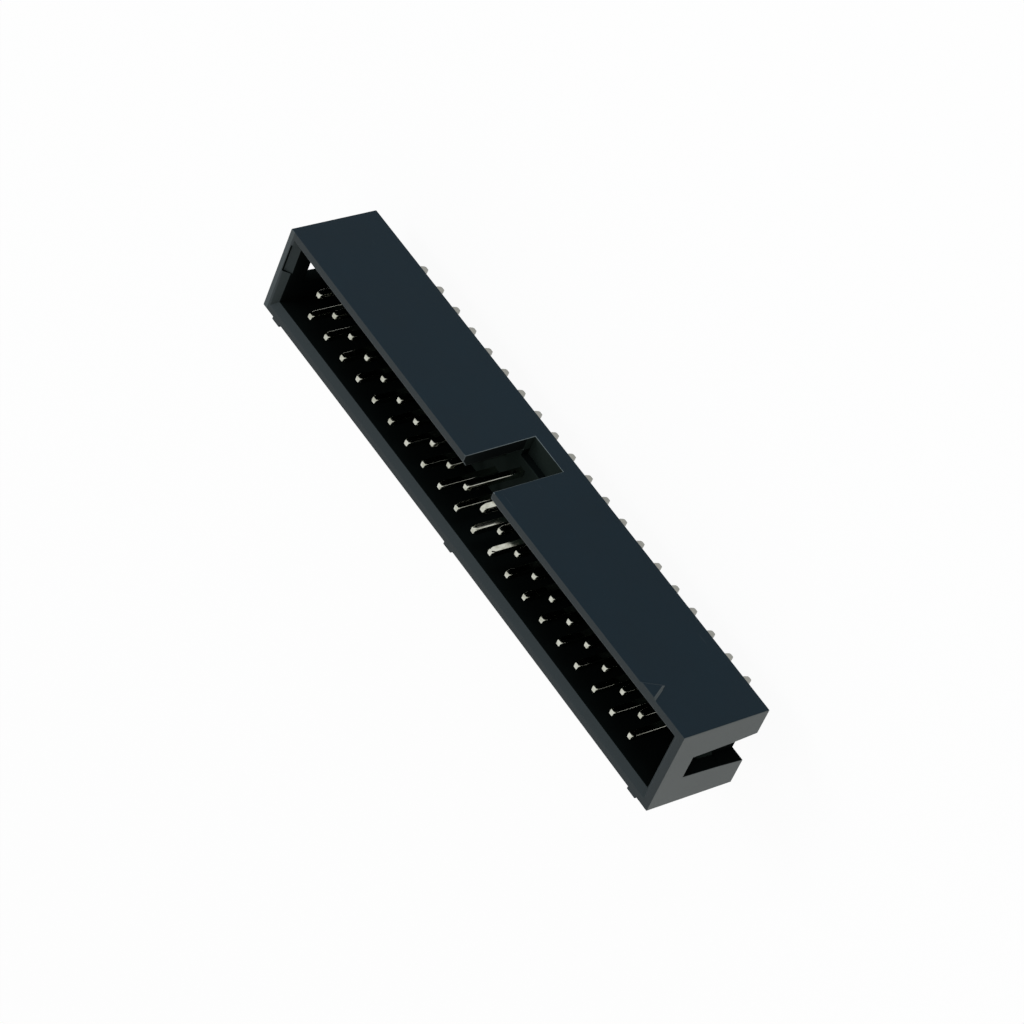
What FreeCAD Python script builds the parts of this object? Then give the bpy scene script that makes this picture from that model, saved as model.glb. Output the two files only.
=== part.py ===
"""A straight two-row box header: a moulded shroud round square pins on a 2.54 mm grid.

Lengths are in millimetres. The origin is the middle of the pin field, on the face that sits on the
board. +X runs along the rows, away from pin 1. -Y is the side of the wall with the keyway. +Z is
the way that the mating plug comes off, so the solder tails point down.
"""
import FreeCAD, Part
import Sketcher
import os

# The driving sizes, each with what it measures.
SIZES = {
    "pins_per_row": (20, "pins in each of the rows"),
    "rows": (2, "rows of pins"),
    "pin_pitch": (2.54, "from pin to pin along a row"),
    "row_pitch": (2.54, "from row to row"),
    "pin_side": (0.64, "side of a pin's square section"),
    "pin_height": (8.3, "from the board up to a pin's tip"),
    "tail_length": (3.2, "from the board down to a solder tail's tip"),
    "point_length": (0.5, "length of the taper at each end of a pin"),
    "point_flat": (0.34, "side of the flat that each taper ends in"),
    "wing_start": (0.6, "from the board up to the wings that hold a pin in the floor"),
    "wing_length": (1.1, "length of a wing along the pin"),
    "wing_width": (0.44, "width of a wing across the pin"),
    "wing_proud": (0.07, "how far a wing stands out of the pin"),
    "end_margin": (5.05, "from the last pin's axis to the outer face of an end wall"),
    "body_width": (8.9, "over the outer faces of the two long walls"),
    "body_height": (8.8, "from the board to the rim"),
    "floor_thickness": (2.4, "thickness of the floor that carries the pins"),
    "long_wall": (1.3, "thickness of the two long walls"),
    "end_wall": (1.25, "thickness of the two end walls"),
    "corner_radius": (0.1, "radius of the four upright corners"),
    "lead_in_depth": (0.5, "from the rim down to the foot of the bevel round the mouth"),
    "long_lead_in": (0.65, "how far that bevel reaches into each long wall"),
    "end_lead_in": (0.5, "how far that bevel reaches into each end wall"),
    "panel_reach": (0.62, "how far the lowered panel of the far bevel reaches into its wall"),
    "panel_step": (0.12, "how far that panel lies below the bevel and the rim"),
    "panel_gap": (0.2, "from that panel's end to the middle of the header"),
    "key_width": (4.1, "width of the keyway"),
    "key_base": (1.65, "from the board to the bottom of the keyway"),
    "key_reach": (0.7, "how far the keyway is cut into the floor, inside its wall"),
    "slot_height": (6.45, "from the board to the closed top of an end slot"),
    "slot_top_width": (2.1, "width of an end slot at its closed top"),
    "slot_shoulder_width": (2.5, "width of an end slot above its step"),
    "slot_shoulder_height": (2.6, "from the board to the top of that step"),
    "slot_step_width": (2.9, "width of an end slot below its step"),
    "slot_step_height": (2.1, "from the board to the foot of that step"),
    "slot_foot_width": (3.3, "width of an end slot where it opens at the board"),
    "slot_reach": (0.15, "how far an end slot is cut into the floor, inside its wall"),
    "ribs": (3, "ribs on the outside of the plain long wall"),
    "rib_width": (1.1, "width of such a rib"),
    "rib_proud": (0.25, "how far such a rib stands out of the wall"),
    "rib_margin": (2.1, "from the middle of the last rib to the outer face of an end wall"),
    "mark_width": (2.1, "width of the pin 1 triangle at the rim"),
    "mark_height": (1.9, "from the rim to that triangle's point"),
    "mark_proud": (0.15, "how far that triangle stands out of the wall"),
    "mark_bevel": (0.22, "how far that triangle's face is set in at each end of the rim"),
}

# Sizes that follow from those.
FIELD_HALF_LENGTH = "((sizes.pins_per_row - 1) * sizes.pin_pitch / 2)"
FIELD_HALF_WIDTH = "((sizes.rows - 1) * sizes.row_pitch / 2)"
HALF_LENGTH = f"({FIELD_HALF_LENGTH} + sizes.end_margin)"
HALF_WIDTH = "(sizes.body_width / 2)"
INNER_HALF_LENGTH = f"({HALF_LENGTH} - sizes.end_wall)"
INNER_HALF_WIDTH = f"({HALF_WIDTH} - sizes.long_wall)"
HALF_PIN = "(sizes.pin_side / 2)"

doc = FreeCAD.newDocument("box_header")


def make_sheet():
    """The spreadsheet of driving sizes: a name, a value and a note in each row."""
    table = doc.addObject("Spreadsheet::Sheet", "sizes")
    for row, (name, (value, note)) in enumerate(SIZES.items(), start=1):
        table.set(f"A{row}", name)
        table.set(f"B{row}", str(value))
        table.set(f"C{row}", note)
        table.setAlias(f"B{row}", name)
    doc.recompute()
    return table


sheet = make_sheet()


def value_of(formula):
    """What a formula on the sheet's sizes comes to."""
    return float(sheet.evalExpression(formula))


def origin_part(body, role):
    """One of the body's own origin planes or axes."""
    return next(part for part in body.Origin.OriginFeatures if part.Role == role)


def new_sketch(body, name, plane, offset="0"):
    """A sketch parallel to an origin plane of the body, offset along that plane's normal."""
    sketch = body.newObject("Sketcher::SketchObject", name)
    sketch.AttachmentSupport = [(origin_part(body, plane), "")]
    sketch.MapMode = "FlatFace"
    sketch.setExpression(".AttachmentOffset.Base.z", offset)
    return sketch


def draw_outline(sketch, corners):
    """Straight lines round the corners, each corner held by its two distances from the axes."""
    first = sketch.GeometryCount
    places = [FreeCAD.Vector(value_of(across), value_of(up), 0) for across, up in corners]
    for start, end in zip(places, places[1:] + places[:1]):
        sketch.addGeometry(Part.LineSegment(start, end))
    for n, (across, up) in enumerate(corners):
        line = first + n
        line_before = first + (n - 1) % len(corners)
        sketch.addConstraint(Sketcher.Constraint("Coincident", line_before, 2, line, 1))
        for kind, formula in (("DistanceX", across), ("DistanceY", up)):
            rule = Sketcher.Constraint(kind, -1, 1, line, 1, value_of(formula))
            held = sketch.addConstraint(rule)
            sketch.setExpression(f"Constraints[{held}]", formula)


def draw_box(sketch, left, right, low, high):
    """A rectangle between two distances across and two distances up."""
    draw_outline(sketch, [(left, low), (right, low), (right, high), (left, high)])


def draw_centred_box(sketch, half_width, half_height):
    """A rectangle about the middle of the sketch."""
    draw_box(sketch, f"-{half_width}", half_width, f"-{half_height}", half_height)


def draw_wings(sketch, middle):
    """The wings on both sides of a pin: square above and tapered below, where they go in first."""
    half_way = "(sizes.wing_start + sizes.wing_length / 2)"
    top = "(sizes.wing_start + sizes.wing_length)"
    for side in ("-", "+"):
        root = f"{middle} {side} {HALF_PIN}"
        edge = f"{middle} {side} ({HALF_PIN} + sizes.wing_proud)"
        draw_outline(sketch, [(root, "sizes.wing_start"), (edge, half_way), (edge, top), (root, top)])


def extrude(body, kind, name, sketch, length, **settings):
    """A Pad or a Pocket of the sketch, as long as the formula says."""
    feature = body.newObject(f"PartDesign::{kind}", name)
    feature.Profile = sketch
    feature.setExpression("Length", length)
    for setting, value in settings.items():
        setattr(feature, setting, value)
    doc.recompute()
    return feature


def cut(body, name, sketch, length, **settings):
    """A Pocket, which has to take something away."""
    volume_before = body.Shape.Volume
    pocket = extrude(body, "Pocket", name, sketch, length, **settings)
    if not body.Shape.Volume < volume_before:
        raise RuntimeError(f"{name} cuts nothing")
    return pocket


def loft(body, kind, name, sketches):
    """An AdditiveLoft or a SubtractiveLoft with straight sides through the sketches."""
    solid = body.newObject(f"PartDesign::{kind}", name)
    solid.Profile = sketches[0]
    solid.Sections = sketches[1:]
    solid.Ruled = True
    doc.recompute()
    return solid


def repeat(body, name, originals, count, spacing):
    """Copies of features along X, which the body then ends with."""
    pattern = body.newObject("PartDesign::LinearPattern", name)
    pattern.Originals = originals
    pattern.Direction = (origin_part(body, "X_Axis"), [""])
    pattern.Mode = "Spacing"
    pattern.setExpression("Occurrences", count)
    pattern.setExpression("Offset", spacing)
    body.Tip = pattern
    doc.recompute()
    return pattern


def add_shroud_block(body):
    """The outside of the shroud: a block with rounded upright corners and ribs on its plain wall."""
    plan = new_sketch(body, "shroud_plan", "XY_Plane")
    draw_centred_box(plan, HALF_LENGTH, HALF_WIDTH)
    block = extrude(body, "Pad", "shroud_block", plan, "sizes.body_height")
    uprights = [
        f"Edge{n}"
        for n, edge in enumerate(block.Shape.Edges, start=1)
        if abs(edge.tangentAt(edge.FirstParameter).z) > 0.5
    ]
    corners = body.newObject("PartDesign::Fillet", "upright_corners")
    corners.Base = (block, uprights)
    corners.setExpression("Radius", "sizes.corner_radius")

    rib_plan = new_sketch(body, "rib_plan", "XY_Plane")
    middle = f"(sizes.rib_margin - {HALF_LENGTH})"
    draw_box(
        rib_plan,
        f"{middle} - sizes.rib_width / 2",
        f"{middle} + sizes.rib_width / 2",
        f"{HALF_WIDTH} - sizes.long_wall / 2",
        f"{HALF_WIDTH} + sizes.rib_proud",
    )
    rib = extrude(body, "Pad", "wall_rib", rib_plan, "sizes.body_height")
    repeat(body, "wall_ribs", [rib], "sizes.ribs", f"-2 * {middle} / (sizes.ribs - 1)")


def cut_cavity(body):
    """The space that the plug fills, with a bevelled mouth."""
    plan = new_sketch(body, "cavity_plan", "XY_Plane", "sizes.body_height")
    draw_centred_box(plan, INNER_HALF_LENGTH, INNER_HALF_WIDTH)
    cut(body, "cavity", plan, "sizes.body_height - sizes.floor_thickness")

    foot = new_sketch(body, "mouth_foot", "XY_Plane", "sizes.body_height - sizes.lead_in_depth")
    draw_centred_box(foot, INNER_HALF_LENGTH, INNER_HALF_WIDTH)
    mouth = new_sketch(body, "mouth", "XY_Plane", "sizes.body_height")
    draw_centred_box(
        mouth,
        f"({INNER_HALF_LENGTH} + sizes.end_lead_in)",
        f"({INNER_HALF_WIDTH} + sizes.long_lead_in)",
    )
    loft(body, "SubtractiveLoft", "mouth_bevel", [foot, mouth])


def cut_far_panel(body):
    """The lowered panel in the bevel of the far end wall, on the keyway's side."""
    section = new_sketch(body, "far_panel_section", "XZ_Plane", INNER_HALF_WIDTH)
    foot = "sizes.body_height - sizes.lead_in_depth - sizes.panel_step"
    outer_side = f"{INNER_HALF_LENGTH} + sizes.panel_reach"
    draw_outline(
        section,
        [
            (INNER_HALF_LENGTH, foot),
            (outer_side, "sizes.body_height - sizes.panel_step"),
            (outer_side, "sizes.body_height"),
            (INNER_HALF_LENGTH, "sizes.body_height"),
        ],
    )
    cut(body, "far_panel", section, f"{INNER_HALF_WIDTH} - sizes.panel_gap")


def cut_keyway(body):
    """The keyway of the plug: through its long wall, and on into the edge of the floor."""
    front = new_sketch(body, "keyway_front", "XZ_Plane", HALF_WIDTH)
    half_key = "(sizes.key_width / 2)"
    draw_box(front, f"-{half_key}", half_key, "sizes.key_base", "sizes.body_height")
    cut(body, "keyway", front, "sizes.long_wall + sizes.key_reach")


def cut_end_slots(body):
    """A slot up each end wall, open at the board, wider below a step and widest at its foot."""
    front = new_sketch(body, "end_slot_front", "YZ_Plane", HALF_LENGTH)
    half_outline = [
        ("sizes.slot_foot_width / 2", "0"),
        ("sizes.slot_step_width / 2", "sizes.slot_step_height"),
        ("sizes.slot_shoulder_width / 2", "sizes.slot_shoulder_height"),
        ("sizes.slot_top_width / 2", "sizes.slot_height"),
    ]
    other_half = [(f"-{across}", up) for across, up in reversed(half_outline)]
    draw_outline(front, half_outline + other_half)
    slot = cut(body, "end_slot", front, "sizes.end_wall + sizes.slot_reach")
    both = body.newObject("PartDesign::Mirrored", "end_slots")
    both.Originals = [slot]
    both.MirrorPlane = (origin_part(body, "YZ_Plane"), [""])
    body.Tip = both
    doc.recompute()


def cut_pin_seats(body):
    """The square holes that the pins are pressed into, with room for the wings that hold them."""
    first_x = f"(-{FIELD_HALF_LENGTH})"
    first_y = f"(-{FIELD_HALF_WIDTH})"
    hole_plan = new_sketch(body, "pin_hole_plan", "XY_Plane")
    draw_box(
        hole_plan,
        f"{first_x} - {HALF_PIN}",
        f"{first_x} + {HALF_PIN}",
        f"{first_y} - {HALF_PIN}",
        f"{first_y} + {HALF_PIN}",
    )
    hole = cut(body, "pin_hole", hole_plan, "sizes.floor_thickness", Reversed=True)
    wing_front = new_sketch(body, "wing_seat_front", "XZ_Plane", FIELD_HALF_WIDTH)
    draw_wings(wing_front, first_x)
    seat = cut(body, "wing_seat", wing_front, "sizes.wing_width", SideType="Symmetric")
    seats = repeat(body, "pin_seats", [hole, seat], "sizes.pins_per_row", "sizes.pin_pitch")
    seats.Direction2 = (origin_part(body, "Y_Axis"), [""])
    seats.Mode2 = "Spacing"
    seats.setExpression("Occurrences2", "sizes.rows")
    seats.setExpression("Offset2", "sizes.row_pitch")
    doc.recompute()


def add_pin_1_mark(body):
    """The raised triangle beside pin 1, with its base on the rim and bevelled sides."""
    middle = f"(-{FIELD_HALF_LENGTH})"
    half_base = "(sizes.mark_width / 2)"
    foot = new_sketch(body, "mark_foot", "XZ_Plane", HALF_WIDTH)
    face = new_sketch(body, "mark_face", "XZ_Plane", f"{HALF_WIDTH} + sizes.mark_proud")
    half_face = f"({half_base} - sizes.mark_bevel)"
    for sketch, half, height in (
        (foot, half_base, "sizes.mark_height"),
        (face, half_face, f"sizes.mark_height * {half_face} / {half_base}"),
    ):
        draw_outline(
            sketch,
            [
                (f"{middle} - {half}", "sizes.body_height"),
                (middle, f"sizes.body_height - {height}"),
                (f"{middle} + {half}", "sizes.body_height"),
            ],
        )
    body.Tip = loft(body, "AdditiveLoft", "pin_1_mark", [foot, face])


def make_housing():
    """The moulded housing, in one piece."""
    body = doc.addObject("PartDesign::Body", "housing")
    body.Label = "housing"
    add_shroud_block(body)
    cut_cavity(body)
    cut_far_panel(body)
    cut_keyway(body)
    cut_end_slots(body)
    cut_pin_seats(body)
    add_pin_1_mark(body)
    return body


def make_pin(number):
    """A square pin with a taper at each end and two wings, at its place in the field.

    The odd numbers stand in the row beside the keyway, and the even ones in the row behind it.
    """
    rows = int(sheet.rows)
    label = f"pin_{number:02d}"
    body = doc.addObject("PartDesign::Body", label)
    body.Label = label
    half_flat = "(sizes.point_flat / 2)"
    sections = (
        ("tail_tip", "-sizes.tail_length", half_flat),
        ("tail_shoulder", "-sizes.tail_length + sizes.point_length", HALF_PIN),
        ("contact_shoulder", "sizes.pin_height - sizes.point_length", HALF_PIN),
        ("contact_tip", "sizes.pin_height", half_flat),
    )
    squares = []
    for name, height, half in sections:
        square = new_sketch(body, f"{label}_{name}", "XY_Plane", height)
        draw_centred_box(square, half, half)
        squares.append(square)
    loft(body, "AdditiveLoft", f"{label}_shank", squares)
    wing_front = new_sketch(body, f"{label}_wing_front", "XZ_Plane")
    draw_wings(wing_front, "0")
    extrude(body, "Pad", f"{label}_wings", wing_front, "sizes.wing_width", SideType="Symmetric")
    column = (number - 1) // rows
    row = (number - 1) % rows
    body.setExpression(".Placement.Base.x", f"{column} * sizes.pin_pitch - {FIELD_HALF_LENGTH}")
    body.setExpression(".Placement.Base.y", f"{row} * sizes.row_pitch - {FIELD_HALF_WIDTH}")
    return body


def check_document(pieces):
    """Stops if a feature failed, or if a piece isn't one valid solid."""
    for thing in doc.Objects:
        if "Invalid" in thing.State or "Error" in thing.State:
            raise RuntimeError(f"{thing.Name} failed: {thing.State}")
    for piece in pieces:
        shape = piece.Shape
        if shape.isNull() or not shape.isValid() or len(shape.Solids) != 1:
            raise RuntimeError(f"{piece.Label} is not one valid solid")


def write_pieces(pieces):
    """One STEP file for each piece, named after it."""
    os.makedirs("parts", exist_ok=True)
    for piece in pieces:
        piece.Shape.exportStep(f"parts/{piece.Label}.step")


pin_count = int(sheet.pins_per_row) * int(sheet.rows)
pieces = [make_housing()] + [make_pin(number) for number in range(1, pin_count + 1)]
doc.recompute()
check_document(pieces)
write_pieces(pieces)
print(len(pieces), "pieces,", round(sum(piece.Shape.Volume for piece in pieces), 2), "mm3")
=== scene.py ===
"""A straight two-row box header: its moulded housing and its forty pins, on a pale table.

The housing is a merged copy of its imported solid, with rounded edges. The pins are modelled once
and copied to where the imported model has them. Lengths are in metres, unless a comment says that
they are in millimetres.
"""
import math
from types import SimpleNamespace

import bmesh
import bpy
from bpy.props import FloatProperty, FloatVectorProperty, IntProperty, PointerProperty
from mathutils import Matrix, Vector


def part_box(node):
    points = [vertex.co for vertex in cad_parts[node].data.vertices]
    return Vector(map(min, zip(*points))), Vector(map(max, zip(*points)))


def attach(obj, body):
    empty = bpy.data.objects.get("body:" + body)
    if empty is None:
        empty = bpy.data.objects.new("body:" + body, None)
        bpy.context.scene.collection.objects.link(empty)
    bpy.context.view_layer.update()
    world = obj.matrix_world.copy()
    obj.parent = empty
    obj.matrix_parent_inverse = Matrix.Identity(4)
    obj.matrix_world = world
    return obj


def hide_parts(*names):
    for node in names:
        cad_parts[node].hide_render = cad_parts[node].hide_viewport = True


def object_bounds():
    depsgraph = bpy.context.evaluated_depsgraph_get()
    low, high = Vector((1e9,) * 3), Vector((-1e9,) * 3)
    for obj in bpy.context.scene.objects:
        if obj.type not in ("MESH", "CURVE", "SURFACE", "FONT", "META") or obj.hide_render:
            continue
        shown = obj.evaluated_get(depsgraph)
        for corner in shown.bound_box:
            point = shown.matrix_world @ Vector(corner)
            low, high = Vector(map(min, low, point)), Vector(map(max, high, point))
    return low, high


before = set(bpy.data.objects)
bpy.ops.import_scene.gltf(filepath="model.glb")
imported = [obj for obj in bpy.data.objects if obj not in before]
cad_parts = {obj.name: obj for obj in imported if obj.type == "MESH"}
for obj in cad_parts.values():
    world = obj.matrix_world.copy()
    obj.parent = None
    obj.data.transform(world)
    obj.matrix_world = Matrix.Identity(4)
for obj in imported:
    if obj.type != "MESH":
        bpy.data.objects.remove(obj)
CAD_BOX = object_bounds()

bl_info = {
    "name": "Box header",
    "version": (1, 0, 0),
    "blender": (4, 5, 0),
    "location": "3D View > Sidebar > Box header",
    "description": "A straight two-row box header on a pale table",
    "category": "Object",
}

MM = 0.001
PIN_NODES = sorted(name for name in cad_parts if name.startswith("pin_"))

# The lowest and highest corners of the lowered panel in the far rim.
PANEL_LOW = Vector((27.93, -3.15, 8.18)) * MM
PANEL_HIGH = Vector((28.55, -0.2, 8.8)) * MM

# How far from a place a point still counts as there, and how far apart two points are still one.
SPARE = 0.1 * MM
WELD = 0.001 * MM

# At up to this angle faces merge into one flat face.
FLAT_ANGLE = math.radians(0.5)
# Over these angles an edge is sharp enough to be rounded.
HOUSING_SHARP_ANGLE = math.radians(25)
PIN_SHARP_ANGLE = math.radians(40)
# Over this angle shading keeps a crease. The triangle's sides meet the wall at 38 degrees.
CREASE_ANGLE = math.radians(35)
# A face looks along an axis where that part of its normal is over this.
FACING = 0.9

# Masks of the housing's plastic. Each is a product of steps, and a step goes from 0 to 1 while
# one part of the place or of the normal goes from the first limit to the second. X, y and z are
# the place in millimetres, and end_on, side_on and up are the normal. A part that starts with
# "both" has lost its sign, so that it holds on both sides of the middle.
# Rim, far_bevel, far_rim, ends and flank place painted light and shade outside, and keyway, level
# and below_floor place painted shade inside.
MASKS = {
    "rim": {"up": (0.4, 0.6), "z": (7.9, 8.1)},
    "far_rim": {"x": (28.6, 28.7)},
    "far_bevel": {"end_on": (-0.5, -0.65)},
    "ends": {"both end_on": (0.5, 0.75), "both x": (28.9, 29.05)},
    "long_walls": {"both side_on": (0.4, 0.6), "both y": (4.0, 4.2)},
    "ribs": {"y": (4.5, 4.6)},
    "underside": {"up": (-0.5, -0.7), "z": (0.3, 0.2)},
    "flank": {
        "end_on": (-0.1, -0.2),
        "side_on": (-0.4, -0.5),
        "y": (-4.0, -4.2),
        "both x": (28.9, 28.8),
    },
    "keyway": {"y": (-3.0, -3.1), "both x": (2.3, 2.2)},
    "level": {"up": (0.5, 0.7)},
    "below_floor": {"z": (2.5, 2.45)},
}

# How bright a white table is taken to be in the open, so that it is seen as white there.
OPEN_LIGHT = 0.85

# The camera's sensor, in millimetres as Blender has it, and how near it can see.
SENSOR_WIDTH = 36
NEAREST_SEEN = 0.01


def length_setting(name, description, default):
    """A length of the object, given in millimetres and kept in metres."""
    return FloatProperty(
        name=name, description=description, default=default * MM, precision=6, unit="LENGTH"
    )


def colour_setting(name, description, default):
    """A colour that the user can pick."""
    return FloatVectorProperty(
        name=name, description=description, subtype="COLOR", default=default, min=0.0, max=1.0
    )


def direction_setting(name, description, default):
    """Where something lies, seen from the header."""
    return FloatVectorProperty(
        name=name, description=description, subtype="DIRECTION", default=default
    )


def share_setting(name, description, default):
    """A number from 0 to 1."""
    return FloatProperty(
        name=name, description=description, subtype="FACTOR", default=default, min=0.0, max=1.0
    )


def lamp_setting(name, description, default):
    """How bright a lamp's face is, where white paper in good light is 1."""
    return FloatProperty(name=name, description=description, default=default, min=0.0)


class HousingSettings(bpy.types.PropertyGroup):
    """Edges, walls, finish, and painted light and shade of the moulded housing."""

    edge_radius: length_setting("Edge radius", "Radius of the housing's edges", 0.06)
    fine_radius: length_setting("Fine edge radius", "Radius round the pin seats' mouths", 0.03)
    edge_steps: IntProperty(
        name="Edge steps",
        description="Flats that make up each rounded edge",
        default=3,
        min=1,
        max=6,
    )
    floor_top: length_setting("Floor top", "From the board to the top of the floor", 2.4)
    slot_top: length_setting("Slot top", "From the board to the top of the end slots", 6.45)
    slot_half_width: length_setting("Slot half width", "Half of a slot's width at most", 1.4)
    slot_ease: length_setting("Slot ease", "How far its sides draw back above the floor", 0.15)
    panel_drop: length_setting("Panel drop", "How much deeper the far rim's panel is set", 0.08)
    wall_bow: length_setting("Wall bow", "How far the rim leans in at mid-length", 0.14)
    dark_wall: colour_setting(
        "Dark wall", "Darkest colour of the long walls", (0.0030, 0.0102, 0.0158)
    )
    light_wall: colour_setting(
        "Light wall", "Lightest colour of the long walls", (0.0055, 0.0165, 0.025)
    )
    # The rim's grey is painted light: the rim and the mouth's bevel, which face up, are painted
    # lighter than the walls.
    rim: colour_setting("Rim", "Colour of the rim and the mouth's bevel", (0.035, 0.044, 0.047))
    # The ends' pale colour is painted light: it makes the two end faces lighter than the walls.
    ends: colour_setting("Ends", "Colour of the two end faces", (0.090, 0.099, 0.097))
    # The keyway's sides, the floor and the inside hold painted shade: the inner walls and the
    # slots are painted near black, the keyway's sides a little less dark, and the floor and the
    # keyway's base, which face up, lighter as painted light from above.
    keyway: colour_setting("Keyway", "Colour of the keyway's sides", (0.007, 0.009, 0.009))
    floor: colour_setting(
        "Floor", "Colour of the floor and the keyway's base", (0.018, 0.026, 0.023)
    )
    hidden: colour_setting(
        "Inside", "Colour of the inner walls and the slots", (0.0034, 0.0050, 0.0047)
    )
    # Pale colour of rubbed edges and scuffs, also used for painted highlights on the keyway's
    # edges and painted light on the far end of the rim.
    worn_and_painted_light: colour_setting("Rubbed", "Colour of rubbed edges and scuffs", (0.14, 0.165, 0.17))
    # Painted light on the side of the triangle that faces the near end.
    flank_paleness: share_setting(
        "Flank paleness", "How much of the ends' colour the triangle's side has", 0.7
    )
    # Painted shade: the far bevel, which faces the near end, is painted darker than the rim.
    far_bevel_shade: share_setting(
        "Far bevel shade", "How much of the rim's colour the far bevel lacks", 0.4
    )
    # Painted light: how far the far end of the rim is lightened towards the pale colour.
    far_rim_painted_light: share_setting("Far rim wear", "How rubbed the far end of the rim is", 0.4)
    edge_wear: share_setting("Edge wear", "How rubbed the edges are", 0.04)
    # Painted highlight: how much the keyway's edges are lightened, as thin lines of reflected
    # light.
    keyway_painted_highlight: share_setting("Keyway wear", "How rubbed the keyway's edges are", 0.94)
    scuff_wear: share_setting("Scuff wear", "How rubbed the scuffs are", 0.1)
    streak_share: share_setting("Streak share", "Share of streaks in the walls' mottle", 0.3)
    unevenness: share_setting("Unevenness", "How uneven the rim and the ends are in colour", 0.2)
    shine: share_setting("Shine", "How much the outside reflects", 0.1)
    roughness: share_setting("Roughness", "How dull the outside is on the whole", 0.46)
    hidden_roughness: share_setting("Inside roughness", "How dull the inside is", 0.7)
    cloud_roughness: share_setting("Cloud roughness", "How much clouds change the roughness", 0.1)
    streak_roughness: share_setting(
        "Streak roughness", "How much streaks raise the roughness, and rubbing lowers it", 0.08
    )
    grain_size: length_setting("Grain size", "Width of the grain that the mould leaves", 0.09)
    grain_depth: length_setting("Grain depth", "Depth of that grain", 0.003)
    streak_height: share_setting("Streak height", "Height of the streaks next to the grain's", 0.5)
    scuff_depth: share_setting("Scuff depth", "Depth of the scuffs next to the grain's", 0.6)


class PinSettings(bpy.types.PropertyGroup):
    """Form and finish of the pins."""

    first_taper: length_setting("First taper", "Length of a point's first, slight taper", 0.32)
    last_taper: length_setting("Last taper", "Length of a point's last, steeper taper", 0.18)
    middle_side: length_setting("Middle side", "Side of the square between the tapers", 0.52)
    end_side: length_setting("End side", "Side of the square flat that each point ends in", 0.36)
    edge_radius: length_setting("Edge radius", "Radius of the wire's long edges", 0.07)
    wing_start: length_setting("Wing start", "From the board up to the pin's wings", 0.6)
    wing_length: length_setting("Wing length", "Length of a wing along the pin", 1.1)
    wing_width: length_setting("Wing width", "Width of a wing across the pin", 0.4)
    plating: colour_setting("Plating", "Colour of the clean plating", (0.58, 0.59, 0.52))
    dull_plating: colour_setting(
        "Dull plating", "Colour of the plating where it is thin", (0.34, 0.34, 0.27)
    )
    tail_tin: colour_setting("Tail tin", "Colour of the dull tin on the tails", (0.34, 0.34, 0.31))
    spot_dulling: share_setting("Spot dulling", "How much thin spots dull the colour", 0.6)
    line_dulling: share_setting("Line dulling", "How much drawn lines dull the colour", 0.2)
    tin_unevenness: share_setting("Tin unevenness", "How uneven the tails are in colour", 0.15)
    roughness: share_setting("Roughness", "How dull the plating is on the whole", 0.08)
    spot_roughness: share_setting("Spot roughness", "How much thin spots roughen it", 0.04)
    line_roughness: share_setting("Line roughness", "How much lines change its roughness", 0.06)
    tail_roughness: share_setting("Tail roughness", "How dull the tin on the tails is", 0.5)
    line_depth: length_setting("Line depth", "Depth of the lines that drawing leaves", 0.0002)


class StageSettings(bpy.types.PropertyGroup):
    """The table, the lamps and the camera."""

    table_side: FloatProperty(
        name="Table side", description="Side of the square table", default=2.4, unit="LENGTH"
    )
    table_colour: colour_setting("Table colour", "Colour of the table", (0.84, 0.84, 0.84))
    shadow: share_setting("Shadow", "How dark the table's shadows look, from none to full", 0.07)
    sky: lamp_setting("Sky", "Brightness of the even light from all round", 0.45)
    side: lamp_setting("Side lamp", "Brightness of the low lamp that faces the near end", 6.0)
    side_direction: direction_setting(
        "Side direction", "Where the side lamp is", (-0.95, 0.30, 0.08)
    )
    front: lamp_setting("Front lamp", "Brightness of the low lamp that faces the keyway wall", 5.0)
    front_direction: direction_setting(
        "Front direction", "Where the front lamp is", (0.20, -0.95, 0.18)
    )
    front_colour: colour_setting("Front colour", "Colour of the front lamp", (0.80, 0.92, 1.0))
    top: lamp_setting("Top lamp", "Brightness of the lamp over the keyway wall", 5.0)
    top_direction: direction_setting("Top direction", "Where the top lamp is", (0.46, -0.38, 0.80))
    camera_place: FloatVectorProperty(
        name="Camera place",
        description="Where the camera stands",
        subtype="TRANSLATION",
        unit="LENGTH",
        default=(-152.686 * MM, -219.682 * MM, 195.823 * MM),
    )
    camera_turn: FloatVectorProperty(
        name="Camera turn",
        description="How the camera is turned, about X, then Y, then Z",
        subtype="EULER",
        unit="ROTATION",
        default=(math.radians(-20.7566), math.radians(51.4803), math.radians(-150.3927)),
    )
    camera_lens: FloatProperty(
        name="Camera lens",
        description="Focal length of the camera, in millimetres",
        default=142.077,
        min=1.0,
    )


class Flow:
    """A value on its way from one shader node to the next. Arithmetic adds Math nodes."""

    def __init__(self, shader, socket):
        self.shader = shader
        self.socket = socket

    def __add__(self, other):
        return self.shader.math("ADD", self, other)

    def __radd__(self, other):
        return self.shader.math("ADD", other, self)

    def __sub__(self, other):
        return self.shader.math("SUBTRACT", self, other)

    def __rsub__(self, other):
        return self.shader.math("SUBTRACT", other, self)

    def __mul__(self, other):
        return self.shader.math("MULTIPLY", self, other)

    def __rmul__(self, other):
        return self.shader.math("MULTIPLY", other, self)


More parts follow.
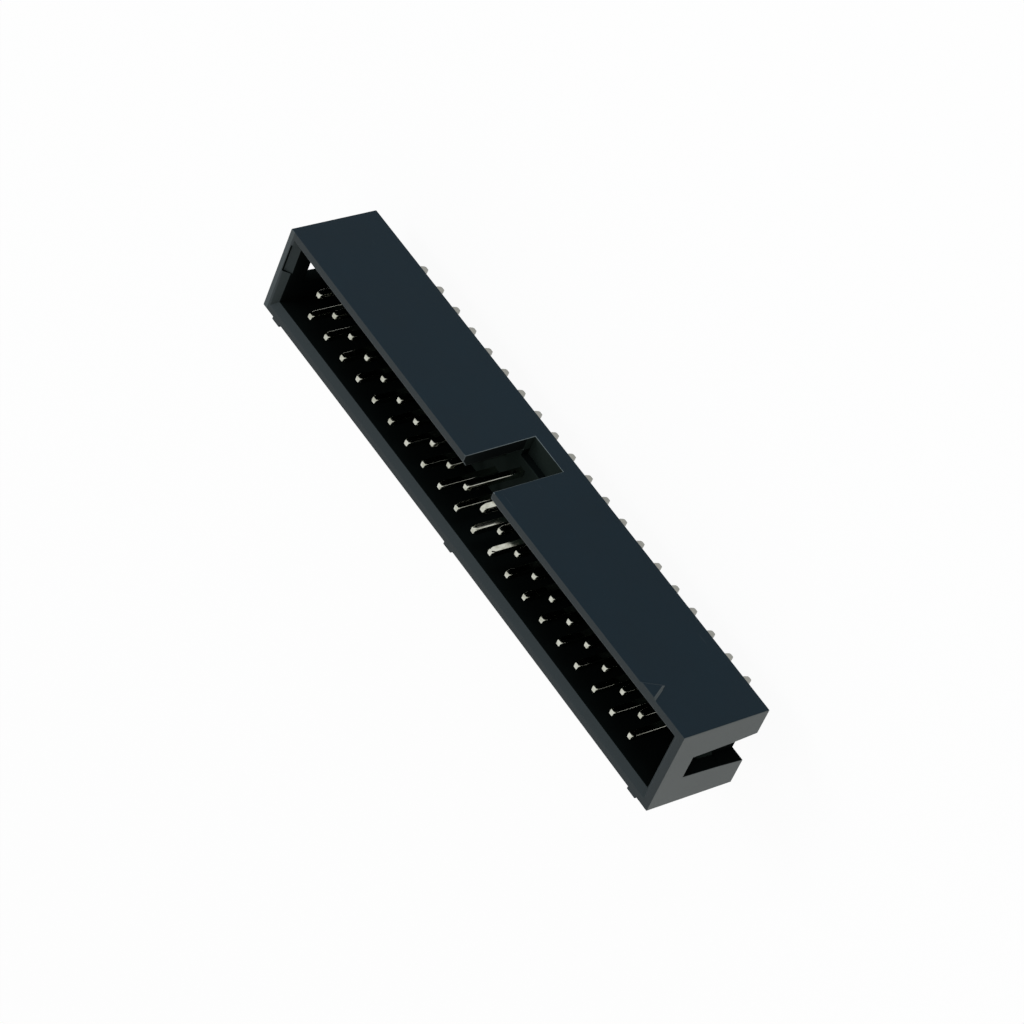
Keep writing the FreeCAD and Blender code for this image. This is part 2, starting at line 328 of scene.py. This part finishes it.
class Shader:
    """The nodes of a material or of the world."""

    def __init__(self, owner):
        owner.use_nodes = True
        self.tree = owner.node_tree
        self.tree.nodes.clear()

    def node(self, kind, settings=None, inputs=None, output=0):
        """Adds a node, makes its settings, then fills its sockets with values or flows."""
        node = self.tree.nodes.new(kind)
        for name, value in (settings or {}).items():
            setattr(node, name, value)
        for name, value in (inputs or {}).items():
            if isinstance(value, Flow):
                self.tree.links.new(value.socket, node.inputs[name])
            else:
                node.inputs[name].default_value = value
        return Flow(self, node.outputs[output] if node.outputs else None)

    def math(self, operation, first, second=0.0):
        """One Math node."""
        return self.node("ShaderNodeMath", {"operation": operation}, {0: first, 1: second})

    def larger(self, first, second):
        """The larger of two values."""
        return self.math("MAXIMUM", first, second)

    def size(self, value):
        """The value without its sign."""
        return self.math("ABSOLUTE", value)

    def step(self, value, start, end):
        """Goes smoothly from 0 to 1 while the value goes from start to end, up or down."""
        return self.node(
            "ShaderNodeMapRange",
            {"interpolation_type": "SMOOTHSTEP"},
            {"Value": value, "From Min": start, "From Max": end},
        )

    def vary(self, noise, share):
        """1, less a share of it where the noise is 0, and more by that share where it is 1."""
        return 1 - share + 2 * share * noise

    def blend(self, share, first, second):
        """The first colour where share is 0, and the second where it is 1.

        A Mix node has sockets for every type of data, so those for colours go by number.
        """
        colours = {
            socket: colour if isinstance(colour, Flow) else (*colour, 1.0)
            for socket, colour in ((6, first), (7, second))
        }
        return self.node("ShaderNodeMix", {"data_type": "RGBA"}, {0: share, **colours}, output=2)

    def axes(self, vector):
        """The three parts of a vector."""
        return [
            self.node("ShaderNodeSeparateXYZ", {}, {"Vector": vector}, output=axis)
            for axis in "XYZ"
        ]

    def place(self, stretch=(1.0, 1.0, 1.0)):
        """The place on the piece in millimetres, each axis shortened by its stretch."""
        coordinates = self.node("ShaderNodeTexCoord", output="Object")
        scale = tuple(1 / MM / factor for factor in stretch)
        return self.node("ShaderNodeMapping", {}, {"Vector": coordinates, "Scale": scale})

    def noise(self, place, size, detail=2.0, roughness=0.5):
        """Soft noise from 0 to 1, whose lumps are about size millimetres wide."""
        return self.node(
            "ShaderNodeTexNoise",
            {},
            {"Vector": place, "Scale": 1 / size, "Detail": detail, "Roughness": roughness},
        )

    def bump(self, height, depth):
        """The normal of a surface that rises by depth metres where height goes from 0 to 1."""
        inputs = {"Height": height, "Distance": depth, "Strength": 1.0}
        return self.node("ShaderNodeBump", {}, inputs)

    def principled(self, **inputs):
        """One Principled surface."""
        named = {name.replace("_", " "): value for name, value in inputs.items()}
        return self.node("ShaderNodeBsdfPrincipled", {}, named)

    def mix(self, share, first, second):
        """The first surface where share is 0, and the second where it is 1."""
        return self.node("ShaderNodeMixShader", {}, {0: share, 1: first, 2: second})

    def finish(self, surface):
        """Makes a surface the material's own."""
        self.node("ShaderNodeOutputMaterial", {}, {"Surface": surface})


def housing_masks(shader, place):
    """The values of MASKS, each from 0 to 1."""
    x, y, z = shader.axes(place)
    end_on, side_on, up = shader.axes(shader.node("ShaderNodeTexCoord", output="Normal"))
    parts = {"x": x, "y": y, "z": z, "end_on": end_on, "side_on": side_on, "up": up}
    for name in ("x", "y", "end_on", "side_on"):
        parts[f"both {name}"] = shader.size(parts[name])
    masks = {
        name: math.prod(shader.step(parts[part], *limits) for part, limits in steps.items())
        for name, steps in MASKS.items()
    }
    return SimpleNamespace(**masks)


def plastic_material(settings):
    """Black moulded plastic, satin outside and matt inside, with painted light and shade.

    Painted light makes the rim and the ends lighter, and painted shade makes the inside darker.
    It has clouds, streaks from the flow of the plastic, the mould's grain, scuffs, rubbed edges,
    painted highlights along the keyway's edges and painted light on the far end of the rim.
    """
    material = bpy.data.materials.new("black_plastic")
    shader = Shader(material)
    place = shader.place()
    along = shader.place(stretch=(9.0, 1.0, 1.0))
    clouds = shader.noise(place, size=5.0, detail=3.0)
    streaks = shader.noise(along, size=0.55, detail=3.0, roughness=0.6)
    grain = shader.noise(place, size=settings.grain_size / MM, roughness=0.6)
    scratches = shader.noise(shader.place(stretch=(14.0, 0.6, 0.6)), size=0.35)
    patches = shader.noise(place, size=2.2)
    scuffs = shader.step(scratches, 0.70, 0.78) * shader.step(patches, 0.5, 0.66)

    mask = housing_masks(shader, place)
    walls = shader.larger(shader.larger(mask.long_walls, mask.ribs), mask.underside)
    # Painted light on the end faces and on the triangle's side that faces the near end.
    painted_end_light = shader.larger(mask.ends, settings.flank_paleness * mask.flank)
    outside = shader.larger(shader.larger(walls, painted_end_light), mask.rim)
    floor = shader.larger(mask.level, mask.keyway * mask.below_floor)
    # Painted light on the upward rim and bevel, and less of it on the far bevel as painted shade.
    rim_painted_light = mask.rim * (1 - settings.far_bevel_shade * mask.far_bevel)

    mottle = (1 - settings.streak_share) * clouds + settings.streak_share * streaks
    # Painted shade inside the housing: near black on the inner walls and the slots, less dark on
    # the keyway's sides, and lighter on faces that look up.
    inside = shader.blend(mask.keyway, settings.hidden, settings.keyway)
    inside = shader.blend(floor, inside, settings.floor)
    skin = shader.blend(mottle, settings.dark_wall, settings.light_wall)
    skin = shader.blend(walls, inside, skin)
    skin = shader.blend(painted_end_light * shader.vary(clouds, settings.unevenness), skin, settings.ends)
    skin = shader.blend(rim_painted_light * shader.vary(streaks, settings.unevenness), skin, settings.rim)
    # Painted light on the far end of the rim.
    skin = shader.blend(settings.far_rim_painted_light * mask.rim * mask.far_rim, skin, settings.worn_and_painted_light)

    edge = shader.node("ShaderNodeAttribute", {"attribute_name": "edge"}, output="Fac")
    # Real wear on the edges and scuffs, and painted highlights along the keyway's edges.
    more_at_keyway = (settings.keyway_painted_highlight - settings.edge_wear) * mask.keyway
    wear_and_highlight = edge * (settings.edge_wear + more_at_keyway) * shader.step(clouds, 0.2, 0.5)
    wear_and_highlight = wear_and_highlight + settings.scuff_wear * outside * scuffs
    height = grain + settings.streak_height * streaks - settings.scuff_depth * scuffs
    normal = shader.bump(height, settings.grain_depth)
    roughness = settings.roughness + settings.cloud_roughness * (clouds - 0.5)
    matt = shader.principled(
        Base_Color=inside,
        Roughness=settings.hidden_roughness,
        Normal=normal,
        Specular_IOR_Level=0.0,
    )
    satin = shader.principled(
        Base_Color=shader.blend(wear_and_highlight, skin, settings.worn_and_painted_light),
        Roughness=roughness + settings.streak_roughness * (streaks - wear_and_highlight),
        Normal=normal,
        Specular_IOR_Level=settings.shine,
    )
    shader.finish(shader.mix(shader.larger(outside, wear_and_highlight), matt, satin))
    return material


def plating_material(settings):
    """Bright plating on drawn wire, thin and duller in spots, and dull tin on the tails."""
    material = bpy.data.materials.new("pin_plating")
    shader = Shader(material)
    place = shader.place()
    along = shader.place(stretch=(0.7, 0.7, 14.0))
    lines = shader.noise(along, size=0.09, detail=3.0, roughness=0.6)
    spots = shader.noise(place, size=0.7, detail=3.0, roughness=0.6)
    thin = shader.step(spots, 0.42, 0.62)
    tail = shader.step(shader.axes(place)[2], 0.1, -0.1)
    dullness = settings.spot_dulling * thin + settings.line_dulling * lines
    plating = shader.blend(dullness, settings.plating, settings.dull_plating)
    tin = tail * shader.vary(lines, settings.tin_unevenness)
    roughness = settings.roughness + settings.line_roughness * (lines - 0.5)
    roughness = roughness + settings.spot_roughness * thin
    metal = shader.principled(
        Base_Color=shader.blend(tin, plating, settings.tail_tin),
        Metallic=1.0,
        Roughness=roughness + (settings.tail_roughness - settings.roughness) * tail,
        Normal=shader.bump(lines, settings.line_depth),
    )
    shader.finish(metal)
    return material


def select_only(thing):
    """Leaves one object selected and active."""
    bpy.ops.object.select_all(action="DESELECT")
    thing.select_set(True)
    bpy.context.view_layer.objects.active = thing


def apply_modifier(thing, kind, **settings):
    """Adds a modifier to the active object, makes its settings and applies it."""
    modifier = thing.modifiers.new(kind.lower(), kind)
    for name, value in settings.items():
        setattr(modifier, name, value)
    bpy.ops.object.modifier_apply(modifier=modifier.name)


def smooth(thing):
    """Smooth shading that keeps flats flat and creases sharp."""
    bpy.ops.object.shade_smooth_by_angle(angle=CREASE_ANGLE)
    apply_modifier(thing, "WEIGHTED_NORMAL", keep_sharp=True, weight=90)


def merge_flats():
    """In edit mode, welds the mesh and merges faces that lie in one plane."""
    bpy.ops.mesh.select_all(action="SELECT")
    bpy.ops.mesh.remove_doubles(threshold=WELD)
    bpy.ops.mesh.dissolve_limited(angle_limit=FLAT_ANGLE)


def merged_copy(node, name):
    """A copy of a CAD node with whole faces for its loose triangles. It ends in edit mode."""
    piece = bpy.data.objects.new(name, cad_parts[node].data.copy())
    piece.data.materials.clear()
    bpy.context.scene.collection.objects.link(piece)
    select_only(piece)
    bpy.ops.mesh.customdata_custom_splitnormals_clear()
    bpy.ops.object.mode_set(mode="EDIT")
    merge_flats()
    return piece


def bow_walls(piece, settings):
    """Leans the long walls in at mid-length, most at the rim, as they come out of the mould.

    The walls are first cut across in every second gap between the columns of pins, so that they
    can bend. It starts in edit mode and ends in object mode.
    """
    outer_corner = CAD_BOX[1]
    columns = sorted({round(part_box(node)[0].x, 6) for node in PIN_NODES})
    spacing = 2 * (columns[1] - columns[0])
    cuts = len(columns) // 4
    for n in range(-cuts, cuts + 1):
        bpy.ops.mesh.select_all(action="SELECT")
        bpy.ops.mesh.bisect(plane_co=(n * spacing, 0, 0), plane_no=(1, 0, 0))
    bpy.ops.object.mode_set(mode="OBJECT")
    for vertex in piece.data.vertices:
        place = vertex.co
        height = (place.z - settings.floor_top) / (outer_corner.z - settings.floor_top)
        if height > 0:
            lean = settings.wall_bow * height * (1 - (place.x / outer_corner.x) ** 2)
            place.y -= math.copysign(lean, place.y)


def ease_slots(piece, settings):
    """Draws back the sides of the end slots, from the floor up."""
    for vertex in piece.data.vertices:
        place = vertex.co
        in_end_wall = abs(place.x) > PANEL_LOW.x - SPARE
        if in_end_wall and settings.floor_top - SPARE < place.z < settings.slot_top + SPARE:
            if abs(place.y) < settings.slot_half_width:
                place.y += math.copysign(settings.slot_ease, place.y)


def sink_panel(piece, settings):
    """Sets the panel in the far rim deeper."""
    for vertex in piece.data.vertices:
        if within([vertex.co], PANEL_LOW, PANEL_HIGH) and vertex.co.z < PANEL_HIGH.z - SPARE:
            vertex.co.z -= settings.panel_drop


def seat_field(settings):
    """The lowest and highest corners of the part of the floor that holds all the pins."""
    boxes = [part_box(node) for node in PIN_NODES]
    low = Vector([min(box[0][axis] for box in boxes) for axis in range(3)])
    high = Vector([max(box[1][axis] for box in boxes) for axis in range(3)])
    high.z = settings.floor_top
    return low, high


def within(points, low, high):
    """Whether all the points lie in a box, or within SPARE of it."""
    return all(low[n] - SPARE < point[n] < high[n] + SPARE for point in points for n in range(3))


def edge_radius_share(ends, seats, settings):
    """How much of the full radius an edge gets: less at a pin seat, none in it or on the panel."""
    if within(ends, *seats):
        levels = (0, settings.floor_top)
        at_mouth = any(all(abs(end.z - level) < SPARE for end in ends) for level in levels)
        return settings.fine_radius / settings.edge_radius if at_mouth else 0.0
    return 0.0 if within(ends, PANEL_LOW, PANEL_HIGH) else 1.0


def round_housing_edges(piece, settings):
    """Rounds the sharp edges, leaves inside corners, and marks the rounding for the material."""
    mesh = piece.data
    bpy.ops.object.mode_set(mode="EDIT")
    bpy.ops.mesh.select_all(action="DESELECT")
    bpy.ops.mesh.select_mode(type="EDGE")
    bpy.ops.mesh.edges_select_sharp(sharpness=HOUSING_SHARP_ANGLE)
    for edge in bmesh.from_edit_mesh(mesh).edges:
        edge.select = edge.select and edge.is_convex
    bpy.ops.object.mode_set(mode="OBJECT")
    seats = seat_field(settings)
    weights = mesh.attributes.new("bevel_weight_edge", "FLOAT", "EDGE")
    for edge in mesh.edges:
        if edge.select:
            ends = [mesh.vertices[n].co for n in edge.vertices]
            weights.data[edge.index].value = edge_radius_share(ends, seats, settings)
    mesh.materials.append(None)
    mesh.materials.append(None)
    apply_modifier(
        piece,
        "BEVEL",
        width=settings.edge_radius,
        segments=settings.edge_steps,
        limit_method="WEIGHT",
        use_clamp_overlap=False,
        material=1,
    )
    mesh = piece.data
    on_flat = [False] * len(mesh.vertices)
    for face in mesh.polygons:
        if face.material_index == 0:
            for n in face.vertices:
                on_flat[n] = True
        face.material_index = 0
    mesh.materials.clear()
    edge = mesh.attributes.new("edge", "FLOAT", "POINT")
    edge.data.foreach_set("value", [0.0 if flat else 1.0 for flat in on_flat])


class BOXHEADER_OT_housing(bpy.types.Operator):
    """Make the moulded housing with rounded edges, and dress it in black plastic"""

    bl_idname = "box_header.housing"
    bl_label = "Make housing"

    def execute(self, context):
        settings = context.scene.box_header_housing
        piece = merged_copy("housing", "moulded_housing")
        bow_walls(piece, settings)
        ease_slots(piece, settings)
        sink_panel(piece, settings)
        round_housing_edges(piece, settings)
        smooth(piece)
        piece.data.materials.append(plastic_material(settings))
        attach(piece, "root")
        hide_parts("housing")
        return {"FINISHED"}


def select_faces(mesh, wanted):
    """Selects only the faces whose centre and normal pass the test. It ends in edit mode."""
    bpy.ops.object.mode_set(mode="OBJECT")
    for vertex in mesh.vertices:
        vertex.select = False
    for edge in mesh.edges:
        edge.select = False
    for face in mesh.polygons:
        face.select = wanted(face.center, face.normal)
    bpy.ops.object.mode_set(mode="EDIT")
    bpy.ops.mesh.select_mode(type="FACE")


def add_wings(pin, settings):
    """The two wings that hold the pin in the floor: square above, and tapered below.

    It starts and ends in edit mode.
    """
    half_side = pin.dimensions.y / 2
    start = settings.wing_start
    half_way = start + settings.wing_length / 2
    top = start + settings.wing_length
    half_width = settings.wing_width / 2
    low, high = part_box(PIN_NODES[0])
    proud = (high.x - low.x) / 2 - half_side
    for place, normal in (
        ((0, 0, start), (0, 0, 1)),
        ((0, 0, half_way), (0, 0, 1)),
        ((0, 0, top), (0, 0, 1)),
        ((0, half_width, 0), (0, 1, 0)),
        ((0, -half_width, 0), (0, 1, 0)),
    ):
        bpy.ops.mesh.select_all(action="SELECT")
        bpy.ops.mesh.bisect(plane_co=place, plane_no=normal)
    for sign in (-1, 1):
        select_faces(
            pin.data,
            lambda centre, normal: normal.x * sign > FACING
            and abs(centre.y) < half_width
            and start < centre.z < top,
        )
        move = {"value": (sign * proud, 0, 0)}
        bpy.ops.mesh.extrude_region_move(TRANSFORM_OT_translate=move)
    bpy.ops.object.mode_set(mode="OBJECT")
    for vertex in pin.data.vertices:
        if vertex.co.z < start + proud / 2:
            vertex.co.x = max(-half_side, min(half_side, vertex.co.x))
    bpy.ops.object.mode_set(mode="EDIT")
    merge_flats()


def model_pin(settings):
    """One pin about the Z axis: square wire with a point in two tapers at each end, and wings."""
    low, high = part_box(PIN_NODES[0])
    side = high.y - low.y
    point = settings.first_taper + settings.last_taper
    bottom = low.z + point
    top = high.z - point
    bpy.ops.mesh.primitive_cube_add(
        size=1, location=(0, 0, (bottom + top) / 2), scale=(side, side, top - bottom)
    )
    pin = bpy.context.object
    bpy.ops.object.transform_apply(location=True, rotation=True, scale=True)
    for sign in (-1, 1):
        select_faces(pin.data, lambda centre, normal: normal.z * sign > FACING)
        for length, before, after in (
            (settings.first_taper, side, settings.middle_side),
            (settings.last_taper, settings.middle_side, settings.end_side),
        ):
            move = {"value": (0, 0, sign * length)}
            bpy.ops.mesh.extrude_region_move(TRANSFORM_OT_translate=move)
            share = after / before
            bpy.ops.transform.resize(value=(share, share, 1), center_override=(0, 0, 0))
    bpy.ops.mesh.select_all(action="DESELECT")
    bpy.ops.mesh.select_mode(type="EDGE")
    bpy.ops.mesh.edges_select_sharp(sharpness=PIN_SHARP_ANGLE)
    bpy.ops.mesh.bevel(offset=settings.edge_radius, segments=3, affect="EDGES")
    add_wings(pin, settings)
    bpy.ops.object.mode_set(mode="OBJECT")
    return pin


class BOXHEADER_OT_pins(bpy.types.Operator):
    """Make one pin, copy it into every seat, and dress the pins in bright plating"""

    bl_idname = "box_header.pins"
    bl_label = "Make pins"

    def execute(self, context):
        settings = context.scene.box_header_pins
        material = plating_material(settings)
        pin = model_pin(settings)
        smooth(pin)
        pin.data.materials.append(material)
        for node in PIN_NODES:
            low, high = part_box(node)
            copy = bpy.data.objects.new(f"plated_{node}", pin.data.copy())
            middle = (low + high) / 2
            copy.data.transform(Matrix.Translation((middle.x, middle.y, 0)))
            context.scene.collection.objects.link(copy)
            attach(copy, "root")
            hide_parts(node)
        bpy.data.objects.remove(pin)
        return {"FINISHED"}


def seen_directly(shader):
    """1 for what the camera, a reflection or a clear piece shows, and 0 for light that bounces."""
    path = "ShaderNodeLightPath"
    camera = shader.node(path, output="Is Camera Ray")
    glossy = shader.node(path, output="Is Glossy Ray")
    through = shader.node(path, output="Is Transmission Ray")
    return shader.larger(shader.larger(camera, glossy), through)


def add_table(settings):
    """The pale table, which the camera sees as white with a faint shadow."""
    bpy.ops.mesh.primitive_plane_add(size=settings.table_side, location=(0, 0, CAD_BOX[0].z))
    table = bpy.context.object
    table.name = "table"
    bpy.ops.object.transform_apply(location=True, rotation=True, scale=True)
    material = bpy.data.materials.new("pale_table")
    shader = Shader(material)
    shade = settings.shadow
    plain = shader.node("ShaderNodeBsdfDiffuse", {}, {"Color": (*settings.table_colour, 1)})
    shown = shader.node("ShaderNodeBsdfDiffuse", {}, {"Color": (shade, shade, shade, 1)})
    glow = shader.node("ShaderNodeEmission", {}, {"Strength": 1 - OPEN_LIGHT * shade})
    white = shader.node("ShaderNodeAddShader", {}, {0: shown, 1: glow})
    shader.finish(shader.mix(seen_directly(shader), plain, white))
    table.data.materials.append(material)


def add_sky(settings):
    """Even light from all round, which the camera sees as white."""
    world = bpy.data.worlds.new("sky")
    bpy.context.scene.world = world
    shader = Shader(world)
    strength = settings.sky + (1 - settings.sky) * seen_directly(shader)
    light = shader.node("ShaderNodeBackground", {}, {"Color": (1, 1, 1, 1), "Strength": strength})
    shader.node("ShaderNodeOutputWorld", {}, {"Surface": light})


def add_lamp(name, direction, brightness, distance, width, height, colour=(1.0, 1.0, 1.0)):
    """A flat soft lamp that faces the header from a direction, and that no reflection shows."""
    place = direction.normalized() * distance
    bpy.ops.object.light_add(type="AREA", location=place)
    lamp = bpy.context.object
    lamp.name = name
    lamp.rotation_euler = place.to_track_quat("Z", "Y").to_euler()
    lamp.data.shape = "RECTANGLE"
    lamp.data.size = width
    lamp.data.size_y = height
    lamp.data.color = colour
    lamp.data.energy = math.pi * width * height * brightness
    lamp.visible_glossy = False


def add_lamps(settings):
    """The soft lamps: two low ones that face the near end and the keyway wall, and one above."""
    add_lamp(
        "side", settings.side_direction, settings.side, distance=0.36, width=0.30, height=0.10
    )
    add_lamp(
        "front",
        settings.front_direction,
        settings.front,
        distance=0.40,
        width=0.30,
        height=0.12,
        colour=settings.front_colour,
    )
    add_lamp("top", settings.top_direction, settings.top, distance=0.40, width=0.14, height=0.14)


def add_camera(settings):
    """The camera, where the picture was taken from."""
    bpy.ops.object.camera_add(location=settings.camera_place, rotation=settings.camera_turn)
    camera = bpy.context.object
    camera.data.sensor_width = SENSOR_WIDTH
    camera.data.lens = settings.camera_lens
    camera.data.clip_start = NEAREST_SEEN
    bpy.context.scene.camera = camera


class BOXHEADER_OT_stage(bpy.types.Operator):
    """Set up the pale table, the even sky, the soft lamps and the camera"""

    bl_idname = "box_header.stage"
    bl_label = "Make stage"

    def execute(self, context):
        settings = context.scene.box_header_stage
        add_table(settings)
        add_sky(settings)
        add_lamps(settings)
        add_camera(settings)
        context.scene.view_settings.view_transform = "Standard"
        return {"FINISHED"}


class BOXHEADER_PT_panel(bpy.types.Panel):
    """Lists the header's settings and the steps that make it."""

    bl_idname = "BOXHEADER_PT_panel"
    bl_label = "Box header"
    bl_space_type = "VIEW_3D"
    bl_region_type = "UI"
    bl_category = "Box header"

    def draw(self, context):
        for group, operator in (
            (context.scene.box_header_housing, BOXHEADER_OT_housing),
            (context.scene.box_header_pins, BOXHEADER_OT_pins),
            (context.scene.box_header_stage, BOXHEADER_OT_stage),
        ):
            box = self.layout.box()
            for name in group.__annotations__:
                box.prop(group, name)
            box.operator(operator.bl_idname)


SETTINGS = {
    "box_header_housing": HousingSettings,
    "box_header_pins": PinSettings,
    "box_header_stage": StageSettings,
}
OPERATORS = (BOXHEADER_OT_housing, BOXHEADER_OT_pins, BOXHEADER_OT_stage)


def register():
    """Makes the settings, the operators and the panel known to Blender."""
    for name, group in SETTINGS.items():
        bpy.utils.register_class(group)
        setattr(bpy.types.Scene, name, PointerProperty(type=group))
    for kind in (*OPERATORS, BOXHEADER_PT_panel):
        bpy.utils.register_class(kind)


def unregister():
    """Takes them away again."""
    for kind in (BOXHEADER_PT_panel, *reversed(OPERATORS)):
        bpy.utils.unregister_class(kind)
    for name, group in SETTINGS.items():
        delattr(bpy.types.Scene, name)
        bpy.utils.unregister_class(group)


def main():
    """Makes the whole header and its stage."""
    register()
    bpy.ops.box_header.housing()
    bpy.ops.box_header.pins()
    bpy.ops.box_header.stage()


if __name__ == "__main__":
    main()
